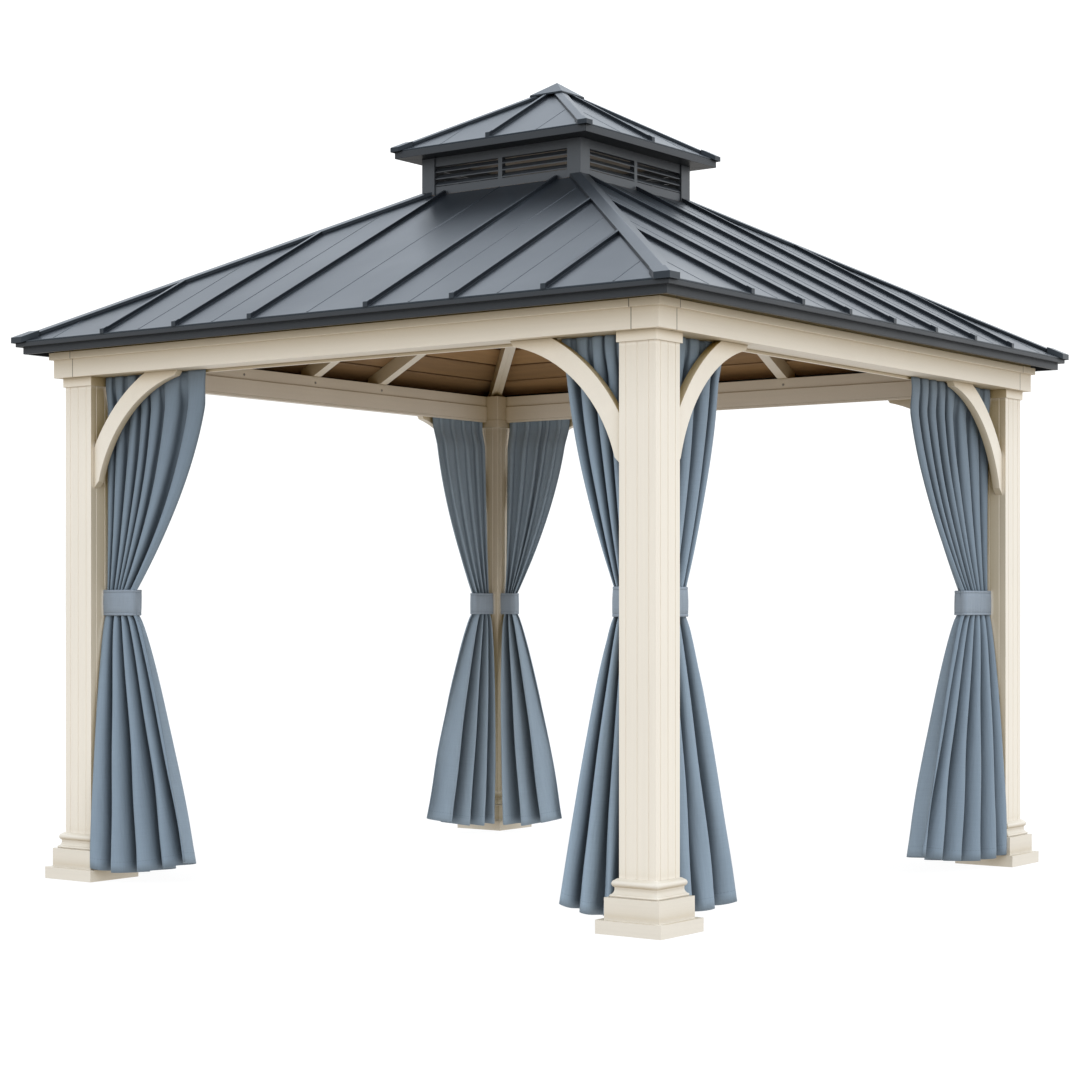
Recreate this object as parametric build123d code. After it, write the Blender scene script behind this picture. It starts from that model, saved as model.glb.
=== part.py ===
from build123d import *
import os
from math import cos, radians, sqrt, tan

# Square hardtop gazebo in millimetres: +Z up, origin on the ground under the middle of the roof.
# The front faces -Y and the right side faces +X. Each side is made at the front and turned into place.

# Posts and their bases
post_spacing = 2890
post_side = 158
post_wall = 4
groove_width = 5
groove_depth = 2
groove_shares = (-0.31, 0, 0.31)
plinth_side = 282
plinth_height = 50
pedestal_side = 236
pedestal_height = 80
lip_side = 200
lip_height = 11
lip_bow = 4
cove_side = 198
cove_height = 21
cove_bow = 3
neck_side = 182
neck_height = 4
torus_bow = 8
torus_height = 26
shoulder_side = 168
shoulder_height = 5

# Beams, collars and corner blocks
beam_underside = 2160
beam_height = 125
beam_width = 130
beam_overhang = 36
beam_wall = 4
beam_step = 5
beam_step_height = 72
crown_reach = 15
crown_height = 30
crown_drop = 17
collar_reach = 8
collar_height = 39
corner_arm = 118
corner_tongue = 30
corner_cover = 6

# Arched braces
brace_drop = 480
brace_run = 500
brace_foot = 172
brace_head = 190
brace_bevel = 30
brace_nose = 15
brace_nose_drop = 22
brace_inner_bow = 88
brace_outer_bow = 33
brace_thickness = 34
brace_setback = 15

# Curtains, their rails and tie-backs
rail_width = 12
rail_height = 12
curtain_top_depth = 56
curtain_tie_depth = 60
curtain_hem_depth = 180
curtain_brace_gap = 10
waist_setback = 14
hem_gap = 6
tie_middle = 1190
tie_height = 110
tie_thickness = 6
tie_end_radius = 20
soft_gap = 0.3
# Spreads at the rail, the tie-back and the hem, as shares of the clear width between posts
curtain_spread_shares = {
    "front_left": (0.222, 0.063, 0.153),
    "front_right": (0.106, 0.028, 0.09),
    "right_front": (0.144, 0.062, 0.16),
    "right_back": (0.288, 0.093, 0.226),
    "back_right": (0.12, 0.03, 0.085),
    "back_left": (0.143, 0.028, 0.1),
    "left_back": (0.154, 0.046, 0.126),
    "left_front": (0.14, 0.05, 0.12),
}
# How the free edge sweeps in from the rail to the tie-back: share of the drop, share of the spread kept
gather_shares = ((0, 1), (0.3, 0.88), (0.55, 0.64), (0.8, 0.32), (1, 0))
# How the skirt flares out again below it: share of the fall, share of the flare reached
skirt_middle_shares = (0.45, 0.56)
# How much of a curtain's depth is taken off each corner of its free edge
curtain_corner_share = 0.3

# Eaves
eave_seat = 30
fascia_reach = 92
fascia_height = 30
fascia_lap = 23
fascia_thickness = 15
drip_reach = 23
drip_height = 24

# Main roof
roof_pitch = 28.2
panel_thickness = 6
rib_width = 16
rib_height = 15
rib_end_width = 23
rib_end_height = 18
rib_end_length = 20
rib_end_reach = 3
hip_cap_width = 80
hip_cap_thickness = 14
hip_end_width = 96
hip_end_thickness = 22
hip_end_length = 40
hip_end_reach = 14
# Places of the ribs along the eave, as shares of half its length
front_rib_shares = (-0.68, -0.43, -0.18, 0.18, 0.43, 0.68)
side_rib_shares = (-0.663, -0.442, -0.221, 0, 0.221, 0.442, 0.663)

# Ceiling lining and rafters
ceiling_height = 70
lining_thickness = 12
lining_seam = 10
rafter_width = 54
rafter_depth = 66
rafter_end_cut = 25
# Places of the jack rafters along a side, as shares of half the post spacing
front_jack_shares = (-0.225, 0.225)
side_jack_shares = (-0.345, 0, 0.345)

# Cupola
cupola_side = 856
cupola_height = 165
curb_thickness = 36
curb_reveal = 10
cupola_post_side = 70
louvre_setback = 6
louvre_thickness = 24
louvre_rail_height = 37
louvre_head_height = 39
mullion_width = 22
slat_count = 3
slat_rise = 20
slat_thickness = 5
cupola_overhang = 86
cupola_eave_seat = 38
cupola_fascia_height = 36
cupola_pitch = 29.5
cupola_hip_width = 55
cupola_hip_thickness = 12
cupola_hip_end_width = 66
cupola_hip_end_thickness = 18
cupola_hip_end_length = 32
cupola_ceiling_thickness = 10
panel_seam = 3
cap_side = 175
cap_edge = 8
cap_rise = 61
cap_throat_share = 0.55

# Joints between sheets of one ring, and the overrun of every cutting body
seam = 0.6
overrun = 50

# Heights and distances from the middle that follow from the sizes above
post_centre = post_spacing / 2
post_outer = post_centre + post_side / 2
post_inner = post_centre - post_side / 2
opening_width = 2 * post_inner
moulding_height = lip_height + cove_height + neck_height + torus_height + shoulder_height
base_height = plinth_height + pedestal_height + moulding_height
beam_top = beam_underside + beam_height
beam_outer = post_outer + beam_overhang
beam_inner = beam_outer - beam_width
crown_base = beam_top - crown_drop - crown_height
fascia_outer = beam_outer + fascia_reach
fascia_base = beam_top - fascia_lap
eave_reach = fascia_outer + drip_reach
eave_top = fascia_base + fascia_height + drip_height
eave_inner = beam_outer - eave_seat
brace_back = post_outer - brace_setback - brace_thickness
curtain_plane = brace_back - curtain_brace_gap - curtain_top_depth / 2
waist_plane = curtain_plane - waist_setback
curtain_top = beam_underside - rail_height - soft_gap
curtain_edge = post_inner - max(collar_reach, tie_thickness) - soft_gap
base_side = max(pedestal_side, lip_side + 2 * lip_bow, neck_side + 2 * torus_bow, post_side)
hem_edge = post_centre - base_side / 2 - soft_gap
hem_height = plinth_height + hem_gap
tie_top = tie_middle + tie_height / 2
tie_base = tie_middle - tie_height / 2
roof_slope = tan(radians(roof_pitch))
roof_lean = 1 / cos(radians(roof_pitch))
cupola_half = cupola_side / 2
cupola_base = eave_top + (eave_reach - cupola_half) * roof_slope
cupola_top = cupola_base + cupola_height
cupola_reach = cupola_half + cupola_overhang
cupola_slope = tan(radians(cupola_pitch))
cupola_lean = 1 / cos(radians(cupola_pitch))
cupola_eave_top = cupola_top + cupola_fascia_height
cap_half = cap_side / 2
cap_base = cupola_eave_top + (cupola_reach - cap_half) * cupola_slope + cupola_hip_thickness * cupola_lean
total_height = cap_base + cap_edge + cap_rise

side_names = ("front", "right", "back", "left")
corner_names = ("front_right", "back_right", "back_left", "front_left")
quarter_turn = 90


def turned(shape, count):
    """The shape turned about the middle by a number of quarter turns."""
    return Rot(0, 0, quarter_turn * count) * shape


def around(shape):
    """The four copies of a shape, one for each side or corner."""
    return [turned(shape, count) for count in range(len(side_names))]


def export(node, shapes):
    """Write the solids of one node to its own file."""
    solids = [solid for shape in shapes for solid in shape.solids()]
    body = solids[0] if len(solids) == 1 else Compound(children=solids)
    export_step(body, os.path.join("parts", node + ".step"))


def slab(low, high):
    """A block between two opposite corners."""
    size = [top - bottom for bottom, top in zip(low, high)]
    return Pos(*low) * Box(*size, align=(Align.MIN, Align.MIN, Align.MIN))


def side_bar(points, half_length, middle=0):
    """A bar along the front with an outline of (distance from the middle, height) points."""
    outline = make_face(Polyline(*[(-distance, height) for distance, height in points], close=True))
    return Pos(middle, 0, 0) * extrude(Plane.YZ * outline, amount=half_length, both=True)


def wedge(inset=0):
    """The front quarter of the plan between the two hips, drawn in from each hip along the eave."""
    reach = eave_reach + overrun
    plan = make_face(Polyline((0, -inset), (-reach, -reach - inset), (reach, -reach - inset), close=True))
    return extrude(plan, amount=total_height + overrun)


def mitred(points, inset=0):
    """A bar along the front that ends on the two hip planes."""
    return side_bar(points, eave_reach + overrun) & wedge(inset)


def hip_strip(points, width):
    """A strip along the front right hip, folded over it, with the layer's points and its own width."""
    along_eave = width / sqrt(2)
    front_half = mitred(points) - wedge(along_eave)
    front_half = front_half & slab((0, -eave_reach - overrun, 0), (eave_reach + overrun, 0, total_height))
    right_half = mirror(front_half, about=Plane(origin=(0, 0, 0), z_dir=(1, 1, 0)))
    return front_half + right_half


def roof_layer(bottom, top, low_end, high_end):
    """The outline of a layer that lies from bottom to top above the main roof, square to its slope."""
    points = []
    for distance, rise in ((low_end, bottom), (low_end, top), (high_end, top), (high_end, bottom)):
        points.append((distance, eave_top + (eave_reach - distance) * roof_slope + rise * roof_lean))
    return points


def cupola_layer(bottom, top, low_end, high_end):
    """The outline of a layer that lies from bottom to top above the cupola's roof, square to its slope."""
    points = []
    for distance, rise in ((low_end, bottom), (low_end, top), (high_end, top), (high_end, bottom)):
        height = cupola_eave_top + (cupola_reach - distance) * cupola_slope + rise * cupola_lean
        points.append((distance, height))
    return points


def make_post():
    """A hollow square post with three grooves down each face."""
    section = Rectangle(post_side, post_side) - Rectangle(post_side - 2 * post_wall, post_side - 2 * post_wall)
    for share in groove_shares:
        groove = Pos(share * post_side, -post_side / 2) * Rectangle(groove_width, 2 * groove_depth)
        for cut in around(groove):
            section = section - cut
    return Pos(post_centre, -post_centre, 0) * extrude(section, amount=beam_underside)


def make_base():
    """A stepped sleeve round the post's foot: plinth, pedestal, and a cove between a lip and a half-round bead."""
    post_half = post_side / 2
    lip_base = plinth_height + pedestal_height
    cove_base = lip_base + lip_height
    neck_base = cove_base + cove_height
    torus_base = neck_base + neck_height
    shoulder_base = torus_base + torus_height
    start = (-neck_side / 2, torus_base)
    end = (-neck_side / 2, shoulder_base)
    lip_start = (-lip_side / 2, lip_base)
    lip_end = (-lip_side / 2, cove_base)
    cove_start = (-cove_side / 2, cove_base)
    cove_end = (-neck_side / 2, neck_base)
    steps = Polyline(
        (0, 0),
        (-plinth_side / 2, 0),
        (-plinth_side / 2, plinth_height),
        (-pedestal_side / 2, plinth_height),
        (-pedestal_side / 2, lip_base),
        lip_start,
    )
    lip = SagittaArc(lip_start, lip_end, lip_bow)
    ledge = Line(lip_end, cove_start)
    cove = SagittaArc(cove_start, cove_end, -cove_bow)
    neck = Line(cove_end, start)
    torus = SagittaArc(start, end, torus_bow)
    top = Polyline(end, (-shoulder_side / 2, base_height), (0, base_height), (0, 0))
    outline = Plane.YZ * make_face([steps, lip, ledge, cove, neck, torus, top])
    quarter = extrude(outline, amount=plinth_side, both=True) & wedge()
    base = quarter
    for count in range(1, len(side_names)):
        base = base + turned(quarter, count)
    base = base - Pos(0, 0, base_height / 2) * Box(2 * post_half, 2 * post_half, base_height + overrun)
    return Pos(post_centre, -post_centre, 0) * base


def make_collar():
    """A plain sleeve round the post's head."""
    wide = post_side + 2 * collar_reach
    sleeve = extrude(Rectangle(wide, wide) - Rectangle(post_side, post_side), amount=collar_height)
    return Pos(post_centre, -post_centre, beam_underside - collar_height) * sleeve


def make_corner_block():
    """The block over a post: the outer corner with its crown strip, and the cover of the post's head."""
    low = beam_outer - corner_arm
    crown_outer = beam_outer + crown_reach
    head_low = post_inner - corner_cover
    head_high = beam_outer - corner_tongue
    corner = slab((low, -beam_outer, beam_underside), (beam_outer, -low, beam_top))
    crown = slab((low, -crown_outer, crown_base), (crown_outer, -low, crown_base + crown_height))
    head = slab((head_low, -head_high, beam_underside), (head_high, -head_low, beam_top))
    return corner + crown + head


def make_beam(corner_blocks):
    """A hollow beam with a crown strip outside and a step inside, notched round the corner blocks."""
    step_top = beam_underside + beam_step_height
    crown_outer = beam_outer + crown_reach
    crown_top = crown_base + crown_height
    outline = (
        (beam_inner, beam_underside),
        (beam_outer, beam_underside),
        (beam_outer, crown_base),
        (crown_outer, crown_base),
        (crown_outer, crown_top),
        (beam_outer, crown_top),
        (beam_outer, beam_top),
        (beam_inner + beam_step, beam_top),
        (beam_inner + beam_step, step_top),
        (beam_inner, step_top),
    )
    half_length = beam_outer - corner_arm
    hollow_inner = beam_inner + beam_step + beam_wall
    hollow_outer = beam_outer - beam_wall
    hollow = slab(
        (-half_length, -hollow_outer, beam_underside + beam_wall),
        (half_length, -hollow_inner, beam_top - beam_wall),
    )
    beam = side_bar(outline, half_length) - hollow
    for block in corner_blocks:
        beam = beam - block
    return beam


def make_brace():
    """The arched brace at the right end of the front, from the post's side to the beam's underside."""
    foot = (post_inner, beam_underside - brace_drop)
    bevel = (post_inner - brace_bevel, beam_underside - brace_drop + brace_bevel)
    nose = (post_inner - brace_run + brace_nose, beam_underside - brace_nose_drop)
    tip = (post_inner - brace_run, beam_underside)
    head = (post_inner - brace_run + brace_head, beam_underside)
    heel = (post_inner, beam_underside - brace_drop + brace_foot)
    outline = make_face(
        [
            Line(foot, bevel),
            SagittaArc(bevel, nose, -brace_inner_bow),
            Polyline(nose, tip, head),
            SagittaArc(head, heel, brace_outer_bow),
            Line(heel, foot),
        ]
    )
    return Pos(0, -brace_back, 0) * extrude(Plane.XZ * outline, amount=brace_thickness)


def curtain_section(edge, spread, plane, depth, height):
    """A level section of a curtain, from its edge at the post inwards, with its free corners taken off."""
    corner = curtain_corner_share * depth
    half = depth / 2
    outline = Polyline(
        (edge, half),
        (edge - spread + corner, half),
        (edge - spread, half - corner),
        (edge - spread, corner - half),
        (edge - spread + corner, -half),
        (edge, -half),
        close=True,
    )
    return Pos(0, -plane, height) * make_face(outline)


def skirt_flare(fall):
    """The share of the skirt's flare that is reached at a share of its fall."""
    middle, reached = skirt_middle_shares
    if fall < middle:
        return reached * fall / middle
    return reached + (1 - reached) * (fall - middle) / (1 - middle)


def make_curtain(shares):
    """The soft body of the curtain at the right end of the front: drape, waist and skirt."""
    top_spread, tie_spread, hem_spread = [share * opening_width for share in shares]
    sections = []
    for drop, kept in gather_shares:
        spread = tie_spread + kept * (top_spread - tie_spread)
        plane = curtain_plane - drop * waist_setback
        depth = curtain_top_depth + drop * (curtain_tie_depth - curtain_top_depth)
        height = curtain_top - drop * (curtain_top - tie_top)
        sections.append(curtain_section(curtain_edge, spread, plane, depth, height))
    skirt_drop = tie_base - hem_height
    for height in (tie_base, (tie_base + base_height) / 2, base_height + soft_gap, hem_height):
        flare = skirt_flare((tie_base - height) / skirt_drop)
        spread = tie_spread + flare * (hem_spread - tie_spread)
        plane = waist_plane + flare * waist_setback
        depth = curtain_tie_depth + flare * (curtain_hem_depth - curtain_tie_depth)
        drawn = min(1, (tie_base - height) / (tie_base - base_height - soft_gap))
        edge = curtain_edge + drawn * (hem_edge - curtain_edge)
        sections.append(curtain_section(edge, spread, plane, depth, height))
    return loft(sections, ruled=True)


def make_tie_back(shares):
    """The band round a curtain's waist, with its flat end against the post."""
    spread = shares[1] * opening_width
    inner_spread = spread + 2 * soft_gap
    inner_depth = curtain_tie_depth + 2 * soft_gap
    band = Rectangle(post_inner - curtain_edge + spread + soft_gap + tie_thickness, inner_depth + 2 * tie_thickness)
    band = Pos((post_inner + curtain_edge - spread - soft_gap - tie_thickness) / 2, -waist_plane) * band
    free_corners = band.vertices().group_by(Axis.X)[0]
    band = fillet(free_corners, tie_end_radius)
    hole = Pos(curtain_edge - spread / 2, -waist_plane) * Rectangle(inner_spread, inner_depth)
    return Pos(0, 0, tie_base) * extrude(band - hole, amount=tie_height)


def make_rail():
    """The slim rail that the curtains of one side hang from, between the collars."""
    half_length = post_inner - collar_reach
    return slab(
        (-half_length, -curtain_plane - rail_width / 2, beam_underside - rail_height),
        (half_length, -curtain_plane + rail_width / 2, beam_underside),
    )


def make_eave():
    """One side's eave: soffit on the beam, fascia, and the drip edge under the roof sheet."""
    sheet_base = eave_top - panel_thickness * roof_lean
    fascia_top = fascia_base + fascia_height
    return mitred(
        (
            (eave_inner, beam_top),
            (fascia_outer - fascia_thickness, beam_top),
            (fascia_outer - fascia_thickness, fascia_base),
            (fascia_outer, fascia_base),
            (fascia_outer, fascia_top),
            (eave_reach, fascia_top),
            (eave_reach, sheet_base),
            (eave_inner, sheet_base + (eave_reach - eave_inner) * roof_slope),
        )
    )


def make_roof(rib_shares):
    """One side's roof sheet with its standing ribs and their end blocks."""
    panel = mitred(roof_layer(-panel_thickness, 0, eave_reach, cupola_half))
    beside_hips = wedge(hip_cap_width / sqrt(2))
    rib_outline = roof_layer(-panel_thickness / 2, rib_height, eave_reach, cupola_half)
    end_start = eave_reach - rib_end_length
    end_outline = roof_layer(-panel_thickness / 2, rib_end_height, eave_reach, end_start)
    lip_outline = roof_layer(0, rib_end_height, eave_reach + rib_end_reach, eave_reach)
    for share in rib_shares:
        place = share * eave_reach
        rib = side_bar(rib_outline, rib_width / 2, place)
        end = side_bar(end_outline, rib_end_width / 2, place)
        lip = side_bar(lip_outline, rib_end_width / 2, place)
        panel = panel + ((rib + end + lip) & beside_hips)
    return panel


def make_hip_cap():
    """The folded cap over the front right hip, with the squared block at its lower end."""
    strip = hip_strip(roof_layer(0, hip_cap_thickness, eave_reach + hip_end_reach, cupola_half), hip_cap_width)
    end_start = eave_reach - hip_end_length
    end = hip_strip(roof_layer(0, hip_end_thickness, eave_reach + hip_end_reach, end_start), hip_end_width)
    return strip + end


def lining_rise():
    """How far the lining's underside lies above the roof's top surface, square to the slope."""
    height = beam_top + ceiling_height
    return (height - eave_top - (eave_reach - beam_inner) * roof_slope) / roof_lean


def above_beams():
    """The space above the beams' tops, where the lining and the rafters lie."""
    reach = eave_reach + overrun
    return slab((-reach, -reach, beam_top), (reach, reach, total_height))


def make_lining():
    """One side's ceiling lining, from the eave up to the cupola's curb."""
    rise = lining_rise()
    outline = roof_layer(rise, rise + lining_thickness, eave_inner, cupola_half)
    return mitred(outline, lining_seam / sqrt(2)) & above_beams()


def make_hip_rafter():
    """The rafter under the front right hip, from the corner block up to the curb."""
    rise = lining_rise()
    outline = roof_layer(rise - rafter_depth, rise, eave_inner - rafter_end_cut, cupola_half)
    return hip_strip(outline, rafter_width) & above_beams()


def make_jack_rafters(jack_shares):
    """One side's jack rafters, from the beam up to the curb or to a hip rafter."""
    rise = lining_rise()
    outline = roof_layer(rise - rafter_depth, rise, eave_inner - rafter_end_cut, cupola_half)
    between_hips = wedge(rafter_width / sqrt(2)) & above_beams()
    return [side_bar(outline, rafter_width / 2, share * post_centre) & between_hips for share in jack_shares]


def make_curb():
    """One board of the curb between the ceiling and the cupola."""
    curb_inner = cupola_half - curb_thickness
    lining_end = beam_top + ceiling_height + (beam_inner - cupola_half) * roof_slope
    curb_base = lining_end - curb_reveal
    outline = (
        (curb_inner, curb_base),
        (cupola_half, curb_base),
        (cupola_half, cupola_base),
        (curb_inner, cupola_base),
    )
    return mitred(outline, seam / 2)


def make_cupola_post():
    """One corner post of the cupola."""
    inner = cupola_half - cupola_post_side
    return slab((inner, -cupola_half, cupola_base), (cupola_half, -inner, cupola_top))


def make_louvre():
    """One louvred side of the cupola: sill, head, mullion and tilted slats."""
    half_length = cupola_half - cupola_post_side
    outer = cupola_half - louvre_setback
    inner = outer - louvre_thickness
    sill_top = cupola_base + louvre_rail_height
    head_base = cupola_top - louvre_head_height
    sill = slab((-half_length, -outer, cupola_base), (half_length, -inner, sill_top))
    head = slab((-half_length, -outer, head_base), (half_length, -inner, cupola_top))
    mullion = slab((-mullion_width / 2, -outer, sill_top), (mullion_width / 2, -inner, head_base))
    louvre = sill + head + mullion
    pitch = (head_base - sill_top) / slat_count
    for index in range(slat_count):
        low = sill_top + index * pitch + (pitch - slat_rise - slat_thickness) / 2
        outline = (
            (outer, low),
            (inner, low + slat_rise),
            (inner, low + slat_rise + slat_thickness),
            (outer, low + slat_thickness),
        )
        louvre = louvre + side_bar(outline, half_length)
    return louvre


def make_cupola_eave():
    """One side of the cupola's eave."""
    inner = cupola_half - cupola_eave_seat
    sheet_base = cupola_eave_top - panel_thickness * cupola_lean
    outline = (
        (inner, cupola_top),
        (cupola_reach, cupola_top),
        (cupola_reach, sheet_base),
        (inner, sheet_base + (cupola_reach - inner) * cupola_slope),
    )
    return mitred(outline, seam / 2)


def make_cupola_ceiling():
    """The board that closes the cupola's inside, on the corner posts."""
    half = cupola_half - cupola_eave_seat
    return slab((-half, -half, cupola_top), (half, half, cupola_top + cupola_ceiling_thickness))


def below_cap():
    """The space under the cap, where the cupola's roof ends."""
    reach = cupola_reach + overrun
    return slab((-reach, -reach, 0), (reach, reach, cap_base))


def make_cupola_roof():
    """One side of the cupola's roof, with the rib up its middle."""
    throat = cap_half * cap_throat_share
    panel = mitred(cupola_layer(-panel_thickness, 0, cupola_reach, throat), panel_seam)
    rib = side_bar(cupola_layer(-panel_thickness / 2, rib_height, cupola_reach, throat), rib_width / 2)
    end_start = cupola_reach - rib_end_length
    end = side_bar(cupola_layer(-panel_thickness / 2, rib_end_height, cupola_reach, end_start), rib_end_width / 2)
    beside_hips = wedge(cupola_hip_width / sqrt(2))
    return (panel + ((rib + end) & beside_hips)) & below_cap()


def make_cupola_hip_cap():
    """The folded cap over the cupola's front right hip, with its squared lower end."""
    throat = cap_half * cap_throat_share
    low_end = cupola_reach + hip_end_reach
    strip = hip_strip(cupola_layer(0, cupola_hip_thickness, low_end, throat), cupola_hip_width)
    end_start = cupola_reach - cupola_hip_end_length
    end = hip_strip(cupola_layer(0, cupola_hip_end_thickness, low_end, end_start), cupola_hip_end_width)
    return (strip + end) & below_cap()


def make_cap():
    """The small pyramid that closes the top."""
    edge = extrude(Rectangle(cap_side, cap_side), amount=cap_edge)
    rim = Pos(0, 0, cap_edge) * Rectangle(cap_side, cap_side)
    apex = Vertex(0, 0, cap_edge + cap_rise)
    return Pos(0, 0, cap_base) * (edge + loft([rim, apex]))


os.makedirs("parts", exist_ok=True)

post = make_post()
corner_block = make_corner_block()
beam = make_beam((corner_block, mirror(corner_block, about=Plane.YZ)))
brace = make_brace()
brace_pair = [brace, mirror(brace, about=Plane.YZ)]
eave = make_eave()
front_roof = make_roof(front_rib_shares)
side_roof = make_roof(side_rib_shares)

for count, corner in enumerate(corner_names):
    export("post_" + corner, [turned(post, count)])

jack_rafters = []
for count, side in enumerate(side_names):
    export("beam_" + side, [turned(beam, count)])
    export("braces_" + side, [turned(piece, count) for piece in brace_pair])
    export("eave_" + side, [turned(eave, count)])
    export("roof_" + side, [turned(side_roof if count % 2 else front_roof, count)])
    jack_shares = side_jack_shares if count % 2 else front_jack_shares
    jack_rafters += [turned(rafter, count) for rafter in make_jack_rafters(jack_shares)]

# Each side's right end, seen from outside, is the next corner in turn, and its left end mirrors it
tie_backs = []
for count, side in enumerate(side_names):
    ends = (side_names[(count + 1) % len(side_names)], side_names[count - 1])
    for end in ends:
        shares = curtain_spread_shares[side + "_" + end]
        pieces = [make_curtain(shares), make_tie_back(shares)]
        if end == ends[1]:
            pieces = [mirror(piece, about=Plane.YZ) for piece in pieces]
        export("curtain_" + side + "_" + end, [turned(pieces[0], count)])
        tie_backs.append(turned(pieces[1], count))

export("post_bases", around(make_base()))
export("post_collars", around(make_collar()))
export("beam_corner_blocks", around(corner_block))
export("curtain_rails", around(make_rail()))
export("tie_backs", tie_backs)
export("hip_caps", around(make_hip_cap()))
export("ceiling_linings", around(make_lining()))
export("hip_rafters", around(make_hip_rafter()))
export("jack_rafters", jack_rafters)
export("cupola_curb", around(make_curb()))
export("cupola_posts", around(make_cupola_post()))
export("cupola_louvres", around(make_louvre()))
export("cupola_eave", around(make_cupola_eave()))
export("cupola_roof", around(make_cupola_roof()))
export("cupola_ceiling", [make_cupola_ceiling()])
export("cupola_hip_caps", around(make_cupola_hip_cap()))
export("cupola_cap", [make_cap()])
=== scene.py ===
import math
import random

import bpy
from mathutils import Matrix, Vector


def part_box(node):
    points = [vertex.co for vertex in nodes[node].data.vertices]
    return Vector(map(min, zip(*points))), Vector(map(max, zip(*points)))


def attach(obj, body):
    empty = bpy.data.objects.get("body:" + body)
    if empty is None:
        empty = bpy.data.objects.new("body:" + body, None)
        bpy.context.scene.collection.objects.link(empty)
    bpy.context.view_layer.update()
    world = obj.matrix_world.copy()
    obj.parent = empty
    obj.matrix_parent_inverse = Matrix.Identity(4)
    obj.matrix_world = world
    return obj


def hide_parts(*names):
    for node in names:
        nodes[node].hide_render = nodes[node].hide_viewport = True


# A square hardtop gazebo with tied-back curtains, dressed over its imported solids.
# Metres, +Z up, the front faces -Y. Each side's pieces are made at the front and turned into place.
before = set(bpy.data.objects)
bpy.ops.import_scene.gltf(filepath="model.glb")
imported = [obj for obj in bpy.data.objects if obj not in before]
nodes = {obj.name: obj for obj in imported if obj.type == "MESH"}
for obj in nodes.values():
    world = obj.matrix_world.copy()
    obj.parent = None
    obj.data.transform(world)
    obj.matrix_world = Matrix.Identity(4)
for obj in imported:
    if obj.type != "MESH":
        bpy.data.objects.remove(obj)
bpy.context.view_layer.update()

side_names = ("front", "right", "back", "left")

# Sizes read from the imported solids
beam_low, beam_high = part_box("beam_front")
tie_low, tie_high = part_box("tie_backs")
post_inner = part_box("post_front_right")[0].x
rail_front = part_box("curtain_rails")[1].x
ceiling_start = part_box("ceiling_linings")[1].x
eave_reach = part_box("eave_front")[1].x
cupola_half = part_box("cupola_curb")[1].x
cupola_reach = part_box("cupola_eave")[1].x
cap_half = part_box("cupola_cap")[1].x
beam_inner = -beam_high.y
beam_underside = beam_low.z
beam_top = beam_high.z
tie_height = tie_high.z - tie_low.z

# Slopes of the main roof and of the cupola's roof
roof_pitch = math.radians(28.2)
cupola_pitch = math.radians(29.5)


# Placing pieces


def placed(point, count, flip=False):
    """A point made at the front's right end, mirrored to the left end if asked and turned to its side."""
    x = -point[0] if flip else point[0]
    spot = Vector((x, point[1], point[2]))
    spot.rotate(Matrix.Rotation(count * math.pi / 2, 3, "Z"))
    return spot


def brought_back(point, count, flip=False):
    """The reverse of placed: a point of a side brought to the front's right end."""
    spot = Vector(point)
    spot.rotate(Matrix.Rotation(-count * math.pi / 2, 3, "Z"))
    if flip:
        spot.x = -spot.x
    return spot


def add_piece(name, points, faces, finish, smooth=False):
    """A mesh piece that rides on the frame."""
    mesh = bpy.data.meshes.new(name)
    mesh.from_pydata([tuple(point) for point in points], [], faces)
    mesh.polygons.foreach_set("use_smooth", [smooth] * len(mesh.polygons))
    mesh.materials.append(finish)
    piece = bpy.data.objects.new(name, mesh)
    bpy.context.scene.collection.objects.link(piece)
    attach(piece, "root")
    return piece


def add_uvs(piece, places):
    """A UV map in metres, from one place for each vertex."""
    layer = piece.data.uv_layers.new(name="metres")
    for loop in piece.data.loops:
        layer.data[loop.index].uv = places[loop.vertex_index]


def add_tones(piece, tones):
    """A number for each vertex, which its material reads."""
    layer = piece.data.attributes.new("tone", "FLOAT", "POINT")
    layer.data.foreach_set("value", tones)


def add_thickness(piece, thickness, offset):
    """Thickness for a thin piece, to its back (-1), both sides (0) or front (1)."""
    solid = piece.modifiers.new("thickness", "SOLIDIFY")
    solid.thickness = thickness
    solid.offset = offset
    return solid


def smooth_step(low, high, value):
    """A soft step from 0 at low to 1 at high."""
    share = min(1, max(0, (value - low) / (high - low)))
    return share * share * (3 - 2 * share)


# Materials: noises by scale, detail and roughness, tones by their ends, bumps by strength and depth
even = (1, 1, 1)
white = (1, 1, 1, 1)
noise_roughness = 0.55
open_samples = 8
fold_samples = 16


def new_material(name):
    """A material with one principled shader, and its node tree."""
    made = bpy.data.materials.new(name)
    made.use_nodes = True
    tree = made.node_tree
    shader = tree.nodes["Principled BSDF"]
    return made, tree, shader


def feed(tree, made, inputs):
    """The inputs of a node, each a value or another node's output."""
    for name, value in inputs.items():
        if isinstance(value, bpy.types.NodeSocket):
            tree.links.new(value, made.inputs[name])
        else:
            made.inputs[name].default_value = value


def node(tree, kind, inputs, **settings):
    """A shader node with its settings and inputs."""
    made = tree.nodes.new("ShaderNode" + kind)
    for name, value in settings.items():
        setattr(made, name, value)
    feed(tree, made, inputs)
    return made


def math_node(tree, operation, first, second=0.0, third=0.0):
    """The output of one sum."""
    made = node(tree, "Math", {0: first, 1: second, 2: third}, operation=operation)
    return made.outputs[0]


def product(tree, first, *others):
    """Several values multiplied together."""
    for other in others:
        first = math_node(tree, "MULTIPLY", first, other)
    return first


def stretched(tree, place, stretch):
    """Coordinates scaled by axis."""
    return node(tree, "Mapping", {"Vector": place, "Scale": stretch}).outputs["Vector"]


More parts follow.
